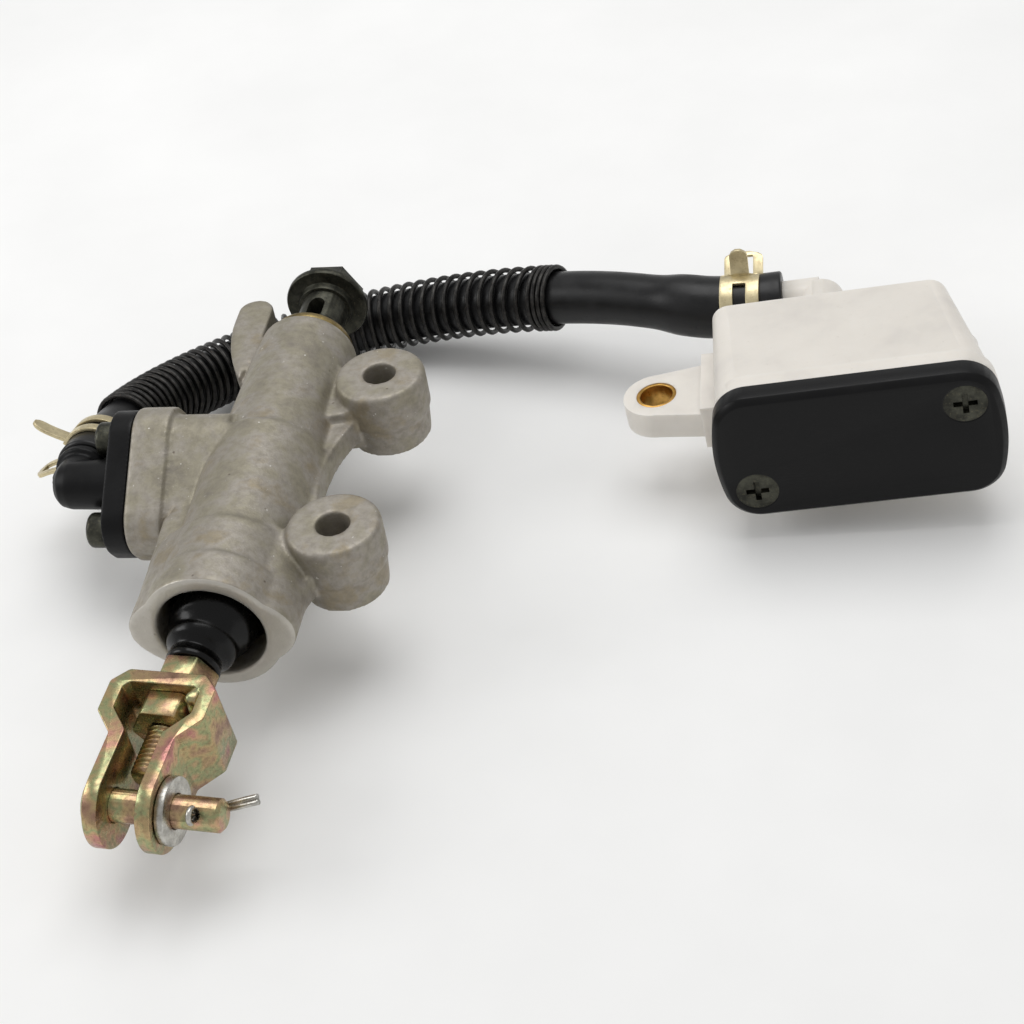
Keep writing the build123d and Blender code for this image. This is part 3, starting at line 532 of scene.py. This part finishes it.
swing = np.radians(np.linspace(178, 36, 40))
ball = np.stack([5 * np.cos(swing), 5 * np.sin(swing)], axis=1)
shank = [(6.0, 2.6), (22.0, 2.6), (22.6, 2.95)]
threaded = [(at, 2.95) for at in np.arange(22.7, 48.8, 0.09)]
pushrod = lathe(
    "pushrod_m6",
    BALL,
    ROD,
    PIN,
    np.concatenate([ball, shank, threaded, [(49.0, 2.7), (49.4, 2.3), (49.4, 0.02)]]),
    columns=56,
    thread=(23.0, 49.0, 1.0, 0.5),
)
settle(pushrod, "rod_group", "yellow_zinc", "pushrod")
print("pushrod faces", len(pushrod.data.polygons))

# %% [markdown]
# ## The tack weld
# One bead of weld in the fork's inner corner stops the nut turning. A bead is a small
# ellipsoid whose radius swells and sinks in three waves, so it looks like frozen metal.

# %% Tack weld
def weld_bead(name, centre, size, columns=48, rows=28):
    """Ellipsoid of three half sizes along the rod, the pin and up, with three waves on it."""
    polar = np.linspace(0.03, math.pi - 0.03, rows)[:, None]
    turn = np.linspace(0, 2 * math.pi, columns + 1)[:-1][None]
    swell = 1 + 0.11 * np.sin(3 * turn + 2 * polar) + 0.07 * np.sin(5 * polar - 2 * turn)
    swell = swell + 0.05 * np.sin(7 * turn) * np.sin(polar) ** 2
    along = size[0] * np.cos(polar) * swell
    aside = size[1] * np.sin(polar) * np.cos(turn) * swell
    above = size[2] * np.sin(polar) * np.sin(turn) * swell
    parts = zip((along, aside, above), (ROD, PIN, ROD_UP))
    points = centre + sum((part * MM)[:, :, None] * way for part, way in parts)
    faces = grid_quads(rows, columns).tolist()
    faces += [list(range(columns)), list(range((rows - 1) * columns, rows * columns))]
    return outward(mesh_object(name, points, faces))


corner = BALL + MM * (35.3 * ROD + 6.2 * PIN + 5.2 * ROD_UP)
bead = weld_bead("tack_weld", corner, (2.3, 2.1, 2.2))
settle(bead, BODY_OF["clevis"], SLOT_OF["clevis"])
print("weld bead faces", len(bead.data.polygons))

# %% [markdown]
# ## The dust boot
# The boot is soft moulded rubber: a thick base ring sits in the casting, a bell rolls
# out of the mouth, and a small lip hugs the rod. The rod hangs a little off the bore's
# line, so the boot's rings slide and lean from one line to the other.

# %% Dust boot
def boot_surface():
    """Rings of a closed profile; each ring's centre moves from the bore line to the rod line."""
    knots = np.array(
        [
            (7.0, 9.72), (8.6, 9.75), (10.2, 9.72), (11.0, 9.3), (11.5, 8.4), (12.4, 7.7),
            (13.4, 7.75), (14.4, 8.0), (15.6, 8.0), (16.8, 7.6), (17.8, 6.9), (18.8, 6.45),
            (19.8, 6.5), (20.8, 6.2), (21.6, 5.4), (22.3, 4.9), (23.2, 5.0), (24.2, 5.15),
            (24.9, 4.9), (25.2, 4.2), (25.1, 3.05), (23.0, 3.02), (21.6, 3.3), (20.6, 4.3),
            (19.4, 5.0), (17.0, 5.6), (14.0, 6.4), (11.0, 6.8), (8.6, 7.3), (7.0, 7.6),
        ]
    )
    loop = np.concatenate([knots[-1:], knots, knots[:2]])
    t = np.linspace(0, 1, 8)[:-1][:, None]
    a, b, c, d = loop[:-3, None], loop[1:-2, None], loop[2:-1, None], loop[3:, None]
    fine = 0.5 * (
        2 * b + (c - a) * t + (2 * a - 5 * b + 4 * c - d) * t**2 + (3 * b - a - 3 * c + d) * t**3
    )
    fine = fine.reshape(-1, 2) * MM
    columns = 96
    angle = np.linspace(0, 2 * math.pi, columns + 1)[:-1]
    at, radius = fine[:, :1], fine[:, 1:]
    w = np.clip((at - 11 * MM) / (11 * MM), 0, 1)
    w = w * w * (3 - 2 * w)
    bore = np.array((0, -1.0, 0))
    centre = BALL + at * (bore * (1 - w) + ROD * w)
    axis = unit(bore * (1 - w) + ROD * w)
    first = unit(np.cross(axis, (0, 0, 1.0)))
    second = np.cross(axis, first)
    spoke = np.cos(angle)[None, :, None] * first[:, None] + np.sin(angle)[None, :, None] * second[:, None]
    points = centre[:, None] + radius[:, None] * spoke
    rows = len(fine)
    number = np.arange(rows * columns).reshape(rows, columns)
    number = np.concatenate([number, number[:1]], axis=0)
    number = np.concatenate([number, number[:, :1]], axis=1)
    faces = np.stack([number[:-1, :-1], number[:-1, 1:], number[1:, 1:], number[1:, :-1]], axis=-1)
    return outward(mesh_object("rubber_boot", points, faces.reshape(-1, 4)))


def between_bodies(piece, slot, node):
    """Names the piece's finish, hides the CAD node it stands for and bakes its place into its points; it
    rides on no body.
    """
    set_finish(piece, slot)
    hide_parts(node)
    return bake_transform(piece)


boot = boot_surface()
between_bodies(boot, "boot_rubber", "dust_boot")
spring = merged_copy("coil_return_spring", "return_spring")
between_bodies(spring, "spring_steel", "return_spring")
print("boot faces", len(boot.data.polygons), "spring faces", len(spring.data.polygons))

# %% [markdown]
# ## The split pin
# A split pin is a half-round wire folded on itself: an eye at the fold, two legs side by
# side through the hole, and the legs bent apart so it can't slip out. Each leg is a
# round section carried along a smooth path through a few points.

# %% Split pin
def wire_along(name, knots, radius, columns=12, steps=14):
    """Round wire along a smooth curve through the knots, closed at both ends."""
    knots = np.asarray(knots, float)
    loop = np.concatenate([2 * knots[:1] - knots[1:2], knots, 2 * knots[-1:] - knots[-2:-1]])
    t = np.linspace(0, 1, steps + 1)[:-1][:, None]
    a, b, c, d = loop[:-3, None], loop[1:-2, None], loop[2:-1, None], loop[3:, None]
    fine = 0.5 * (
        2 * b + (c - a) * t + (2 * a - 5 * b + 4 * c - d) * t**2 + (3 * b - a - 3 * c + d) * t**3
    )
    fine = np.concatenate([fine.reshape(-1, 3), knots[-1:]])
    tangent = unit(np.gradient(fine, axis=0))
    first = unit(np.cross(tangent, PIN * 0.3 + np.cross(ROD, PIN)))
    second = np.cross(tangent, first)
    angle = np.linspace(0, 2 * math.pi, columns + 1)[:-1]
    round_ = np.cos(angle)[None, :, None] * first[:, None] + np.sin(angle)[None, :, None] * second[:, None]
    points = fine[:, None] + radius * round_
    rows = len(fine)
    faces = grid_quads(rows, columns).tolist()
    faces += [list(range(columns)), list(range((rows - 1) * columns, rows * columns))]
    return outward(mesh_object(name, points, faces))


PIN_CENTRE = BALL + ROD * 55 * MM
COTTER_AT = PIN_CENTRE + PIN * 12.1 * MM
COTTER = unit(ROD_UP * 0.75 + ROD * 0.66)
SPLIT = np.cross(COTTER, PIN)


def cotter_point(along, aside, out=0.0):
    """Point of the split pin: along its hole, aside across its two legs, out along the clevis pin."""
    return COTTER_AT + MM * (COTTER * along + SPLIT * aside + PIN * out)


LIFT = MM * np.array((0, 0, 1.0))
legs = [
    cotter_point(-4.6, -0.5, 9.8) + 4.4 * LIFT,
    cotter_point(-4.4, -0.5, 6.4) + 2.9 * LIFT,
    cotter_point(-4.2, -0.5, 2.6) + 1.2 * LIFT,
    cotter_point(-3.6, -0.5, 0.4),
    cotter_point(-2, -0.5),
    cotter_point(1.4, -0.5),
    cotter_point(2.6, -0.9),
    cotter_point(3.5, -1.25),
    cotter_point(4.4, -0.8),
    cotter_point(4.7, 0.0),
    cotter_point(4.4, 0.8),
    cotter_point(3.5, 1.25),
    cotter_point(2.6, 0.9),
    cotter_point(1.4, 0.5),
    cotter_point(-2, 0.5),
    cotter_point(-3.6, 0.5, 0.6),
    cotter_point(-4.4, 0.45, 2.8) + 1.2 * LIFT,
    cotter_point(-4.6, 0.45, 6.4) + 2.9 * LIFT,
    cotter_point(-4.8, 0.45, 9.4) + 4.2 * LIFT,
]
cotter = wire_along("split_pin", legs, 0.52 * MM)
settle(cotter, "pin_group", "bright_steel", "cotter_pin")
print("split pin faces", len(cotter.data.polygons))

# %% [markdown]
# ## Materials: the tools
# Colours are written as sRGB hex, as a colour picker gives them, and one function turns
# them to the linear values that a renderer needs. Another adds a node, sets it and
# links it. Pattern scales come from a real size in millimetres.

# %% Material tools
def linear(code):
    """Linear RGBA of an sRGB hex colour."""
    c = np.array([int(code[i : i + 2], 16) for i in (1, 3, 5)]) / 255
    c = np.where(c <= 0.04045, c / 12.92, ((c + 0.055) / 1.055) ** 2.4)
    return (*c.tolist(), 1.0)


def per(mm):
    """Texture scale whose features repeat about every mm millimetres."""
    return 1000.0 / mm


def add(tree, kind, inputs=None, **settings):
    """Adds a node; inputs maps a socket's name or number to a value or to a socket to link."""
    node = tree.nodes.new(kind)
    for key, value in settings.items():
        setattr(node, key, value)
    for key, value in (inputs or {}).items():
        socket = node.inputs[key]
        if isinstance(value, bpy.types.NodeSocket):
            tree.links.new(value, socket)
        else:
            socket.default_value = value
    return node


def finish_named(name):
    """New material: its tree, its shader and its Object coordinates."""
    material = bpy.data.materials.new(name)
    material.use_nodes = True
    tree = material.node_tree
    place = add(tree, "ShaderNodeTexCoord").outputs["Object"]
    return material, tree, tree.nodes["Principled BSDF"], place


def noise(tree, place, mm, detail=4.0, rough=0.55):
    """Cloudy value from 0 to 1 with features about mm across."""
    return add(
        tree,
        "ShaderNodeTexNoise",
        {"Vector": place, "Scale": per(mm), "Detail": detail, "Roughness": rough},
    ).outputs["Fac"]


def ramp(tree, fac, stops):
    """Colour ramp from (place, hex) stops."""
    node = add(tree, "ShaderNodeValToRGB", {"Fac": fac})
    band = node.color_ramp
    while len(band.elements) < len(stops):
        band.elements.new(0.5)
    for element, (at, code) in zip(band.elements, stops):
        element.position = at
        element.color = linear(code)
    return node.outputs["Color"]


def between(tree, value, low, high, to_low=0.0, to_high=1.0):
    """Value rescaled from low..high to to_low..to_high, clamped."""
    settings = {"Value": value, 1: low, 2: high, 3: to_low, 4: to_high}
    return add(tree, "ShaderNodeMapRange", settings).outputs["Result"]


def mixed(tree, share, first, second, mode="MIX"):
    """Colour mix of two sockets or hex colours by a share."""
    a = linear(first) if isinstance(first, str) else first
    b = linear(second) if isinstance(second, str) else second
    node = add(tree, "ShaderNodeMix", {0: share, 6: a, 7: b}, data_type="RGBA", blend_type=mode)
    return node.outputs[2]


def bumped(tree, shader, height, mm, strength):
    """Links a bump whose full height is mm millimetres to the shader."""
    node = add(tree, "ShaderNodeBump", {"Height": height, "Distance": mm * MM, "Strength": strength})
    tree.links.new(node.outputs["Normal"], shader.inputs["Normal"])


def link(tree, socket, shader, name):
    """Links a socket to one of the shader's inputs."""
    tree.links.new(socket, shader.inputs[name])


FINISHES = {}

# %% [markdown]
# ## Cast aluminium
# Gravity-cast aluminium, left as it came out of the mould and aged outdoors: a soft grey
# skin with a sandy grain, brown-grey stains, small dark pits and a few bright nicks. The
# ends were turned on a lathe, so they are brighter and finely ringed.

# %% Cast aluminium
material, tree, shader, place = finish_named("aged_cast_aluminium")
stain = noise(tree, place, 9.0, 6.0, 0.6)
mottle = noise(tree, place, 1.6, 5.0, 0.65)
grain = noise(tree, place, 0.42, 3.0, 0.6)
skin = ramp(
    tree,
    stain,
    [(0.28, "#857F75"), (0.42, "#96907F"), (0.55, "#9F9990"), (0.66, "#968C78"), (0.80, "#8F8980")],
)
skin = mixed(tree, between(tree, mottle, 0.42, 0.74, 0.0, 0.45), skin, "#6E685E")
pits = add(tree, "ShaderNodeTexVoronoi", {"Vector": place, "Scale": per(4.6), "Randomness": 1.0})
pit = between(tree, pits.outputs["Distance"], 0.03, 0.075, 1.0, 0.0)
skin = mixed(tree, between(tree, pit, 0.0, 1.0, 0.0, 0.55), skin, "#4A3B2B")
nick = between(tree, noise(tree, place, 1.1, 2.0, 0.5), 0.73, 0.76, 0.0, 0.7)
skin = mixed(tree, nick, skin, "#DAD7D0")
split = add(tree, "ShaderNodeSeparateXYZ", {0: place}).outputs
machined = between(tree, split[1], -42.40 * MM, -42.30 * MM, 1.0, 0.0)
skin = mixed(tree, between(tree, machined, 0.0, 1.0, 0.0, 0.55), skin, "#D2CEC6")
link(tree, skin, shader, "Base Color")
shader.inputs["Metallic"].default_value = 0.6
rough = between(tree, mottle, 0.3, 0.75, 0.46, 0.62)
smoother = between(tree, machined, 0.0, 1.0, 0.0, 0.14)
rough = add(tree, "ShaderNodeMath", {0: rough, 1: smoother}, operation="SUBTRACT").outputs[0]
link(tree, rough, shader, "Roughness")
height = mixed(tree, 0.45, mottle, grain)
height = mixed(tree, pit, height, "#000000")
bumped(tree, shader, height, 0.16, 0.75)
FINISHES["cast_aluminium"] = material

# %% [markdown]
# ## Yellow zinc
# Steel dipped in yellow chromate: a thin film whose thickness shifts the colour from gold
# through green to pink, duller and browner where it has worn. The film is smooth, and
# the steel below it shows faint rolling scratches.

# %% Yellow zinc plating
material, tree, shader, place = finish_named("yellow_chromate_zinc")
film = noise(tree, place, 7.0, 3.0, 0.55)
fine = noise(tree, place, 0.7, 4.0, 0.6)
colour = ramp(
    tree,
    film,
    [
        (0.26, "#7A604E"),
        (0.36, "#A78670"),
        (0.45, "#BCA47A"),
        (0.52, "#9CA278"),
        (0.60, "#C2A27E"),
        (0.68, "#BA817C"),
        (0.80, "#8A705A"),
    ],
)
colour = mixed(tree, between(tree, fine, 0.48, 0.76, 0.0, 0.55), colour, "#57443A")
link(tree, colour, shader, "Base Color")
shader.inputs["Metallic"].default_value = 0.95
link(tree, between(tree, fine, 0.3, 0.75, 0.22, 0.40), shader, "Roughness")
bumped(tree, shader, fine, 0.03, 0.35)
FINISHES["yellow_zinc"] = material

# %% [markdown]
# ## Other metals
# Each is a plain steel or copper alloy with its own treatment. They share one recipe: two
# colours mixed by a cloudy pattern, a dirt colour in the finest specks, and a roughness
# that follows the specks. Only the numbers differ, so they are a table.

# %% Plain metals
METALS = {
    # slot: (name, light, dark, dirt, cloud mm, low and high roughness, metallic, bump mm)
    "olive_steel": ("black_oxide_steel", "#4B4B42", "#2C2C27", "#6B6553", 2.2, 0.30, 0.46, 0.85, 0.03),
    "copper": ("dull_crush_copper", "#9A8759", "#6E6040", "#4A3C28", 2.0, 0.30, 0.48, 0.95, 0.04),
    "anodised_aluminium": ("anodised_aluminium", "#C9C2A6", "#AFA88F", "#8A846F", 3.0, 0.28, 0.38, 0.9, 0.01),
    "spring_steel": ("blackened_spring_steel", "#3B3A38", "#1D1C1C", "#5A5148", 1.6, 0.30, 0.46, 0.8, 0.03),
    "bright_steel": ("zinc_plated_steel", "#CFCDC6", "#A6A49E", "#8B7E69", 1.8, 0.22, 0.42, 1.0, 0.02),
    "clamp_steel": ("pale_gold_zinc_steel", "#DCCFA9", "#BBAE8C", "#948061", 3.2, 0.28, 0.46, 0.95, 0.03),
    "brass": ("cast_brass", "#C79A55", "#A5803F", "#7A5F35", 2.0, 0.26, 0.42, 1.0, 0.02),
}


def metal(name, light, dark, dirt, cloud, low, high, metallic, bump):
    """Two-colour metal with dirt specks; rougher where the specks are."""
    made, tree, shader, place = finish_named(name)
    patch = noise(tree, place, cloud, 4.0, 0.6)
    speck = noise(tree, place, cloud * 0.22, 4.0, 0.65)
    colour = mixed(tree, between(tree, patch, 0.35, 0.65), dark, light)
    colour = mixed(tree, between(tree, speck, 0.56, 0.76, 0.0, 0.7), colour, dirt)
    link(tree, colour, shader, "Base Color")
    shader.inputs["Metallic"].default_value = metallic
    link(tree, between(tree, speck, 0.3, 0.7, low, high), shader, "Roughness")
    bumped(tree, shader, speck, bump, 0.5)
    return made


for slot, settings in METALS.items():
    FINISHES[slot] = metal(*settings)

# %% [markdown]
# ## Rubber and plastic
# The hose is extruded rubber with a dull bloom and fine scuffs; the boot is moulded
# rubber, oily and glossy; the cap and the connector are glass-filled nylon with a fine
# leathery grain and some dust. All are dielectrics: a dark base and a soft highlight.

# %% Rubber and plastic
DARKS = {
    # slot: (name, base, bloom, bloom share, cloud mm, grain mm, low and high roughness, bump mm,
    # strength of the highlight)
    "hose_rubber": ("extruded_rubber", "#0B0B0C", "#1B1B1C", 0.5, 4.0, 0.5, 0.26, 0.46, 0.05, 0.34),
    "boot_rubber": ("oiled_moulded_rubber", "#030303", "#0A0A0A", 0.35, 3.0, 0.6, 0.16, 0.32, 0.05, 0.24),
    "seal_rubber": ("nitrile_rubber", "#161616", "#262626", 0.3, 3.0, 0.5, 0.35, 0.5, 0.03, 0.3),
    "black_plastic": (
        "glass_filled_nylon", "#060607", "#0F0F10", 0.45, 6.0, 0.34, 0.32, 0.48, 0.05, 0.2
    ),
}


def dark_polymer(name, base, bloom, share, cloud, grain_mm, low, high, bump, shine):
    """Dark base with a paler bloom in clouds and specks, and a fine grain as bump."""
    made, tree, shader, place = finish_named(name)
    patch = noise(tree, place, cloud, 5.0, 0.62)
    grain = noise(tree, place, grain_mm, 3.0, 0.6)
    dust = between(tree, noise(tree, place, 0.9, 3.0, 0.6), 0.66, 0.74, 0.0, 0.5)
    colour = mixed(tree, between(tree, patch, 0.4, 0.8, 0.0, share), base, bloom)
    colour = mixed(tree, dust, colour, bloom)
    link(tree, colour, shader, "Base Color")
    link(tree, between(tree, patch, 0.3, 0.7, low, high), shader, "Roughness")
    shader.inputs["Specular IOR Level"].default_value = shine
    bumped(tree, shader, grain, bump, 0.45)
    return made


for slot, settings in DARKS.items():
    FINISHES[slot] = dark_polymer(*settings)

# %% [markdown]
# ## The tank's plastic
# The tank is injection-moulded polyethylene: milky white, a little see-through, and
# greyer where fluid residue clings inside. Light enters it and comes out nearby, which
# subsurface scattering gives, and the patches are large and soft.

# %% Milky polyethylene
material, tree, shader, place = finish_named("milky_polyethylene")
cloud = noise(tree, place, 14.0, 4.0, 0.55)
speck = noise(tree, place, 1.2, 4.0, 0.65)
colour = ramp(tree, cloud, [(0.30, "#D2CDC6"), (0.46, "#DBD6CE"), (0.64, "#DFDAD2"), (0.82, "#D4CFC8")])
colour = mixed(tree, between(tree, speck, 0.64, 0.82, 0.0, 0.35), colour, "#B0AA9F")
link(tree, colour, shader, "Base Color")
link(tree, between(tree, speck, 0.3, 0.7, 0.36, 0.5), shader, "Roughness")
shader.inputs["Subsurface Weight"].default_value = 0.35
shader.inputs["Subsurface Radius"].default_value = (1.0, 0.95, 0.85)
shader.inputs["Subsurface Scale"].default_value = 2.2 * MM
bumped(tree, shader, speck, 0.04, 0.35)
FINISHES["tank_plastic"] = material
print("finishes:", sorted(FINISHES))

# %% [markdown]
# ## Giving each piece its finish
# New pieces name their finish by the record's slot, and a CAD node that is still shown
# takes its slot's finish by having its own material slots assigned.

# %% Assign finishes
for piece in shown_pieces():
    slot_name = piece.get("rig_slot") or SLOT_OF[piece.name]
    piece.data.materials.clear()
    piece.data.materials.append(FINISHES[slot_name])

# %% [markdown]
# ## Floor and light
# The part lies on a pale sweep of paper. A large soft light hangs above and a little
# behind, a second fills from the left, and the grey-white room does the rest.

# %% Floor and light
low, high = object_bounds()
floor_z = low.z - 0.3 * MM
steps = np.linspace(-1, 1, 9) * 2.5
grid_x, grid_y = np.meshgrid(steps, steps, indexing="ij")
sheet_points = np.stack([grid_x, grid_y, np.full_like(grid_x, floor_z)], axis=-1)
floor = mesh_object("paper_floor", sheet_points, grid_quads(9, 9, wrap=False)[:, ::-1], smooth=False)
material, tree, shader, place = finish_named("pale_paper")
link(tree, ramp(tree, noise(tree, place, 60.0), [(0.3, "#EDEDEC"), (0.7, "#F3F3F2")]), shader, "Base Color")
shader.inputs["Roughness"].default_value = 0.85
floor.data.materials.append(material)

world = bpy.data.worlds.new("soft room")
bpy.context.scene.world = world
world.use_nodes = True
world.node_tree.nodes["Background"].inputs["Color"].default_value = (1.0, 1.0, 1.0, 1.0)
world.node_tree.nodes["Background"].inputs["Strength"].default_value = 0.56


def soft_light(name, place, aim, size, power):
    """Square area light at a place, aimed at a point."""
    data = bpy.data.lights.new(name, "AREA")
    data.energy = power
    data.size = size
    light = bpy.data.objects.new(name, data)
    bpy.context.scene.collection.objects.link(light)
    back = unit(np.subtract(place, aim))
    side = unit(np.cross((0, 1.0, 0.01), back))
    matrix = np.eye(4)
    matrix[:3, 0], matrix[:3, 1], matrix[:3, 2], matrix[:3, 3] = side, np.cross(back, side), back, place
    light.matrix_world = Matrix(matrix.tolist())


soft_light("overhead", (0.05, 0.22, 0.75), (0.02, 0.02, 0), 0.6, 3.0)
soft_light("left_fill", (-0.7, -0.1, 0.45), (0, 0, 0), 0.4, 1.8)
bpy.context.scene.view_settings.view_transform = "Standard"
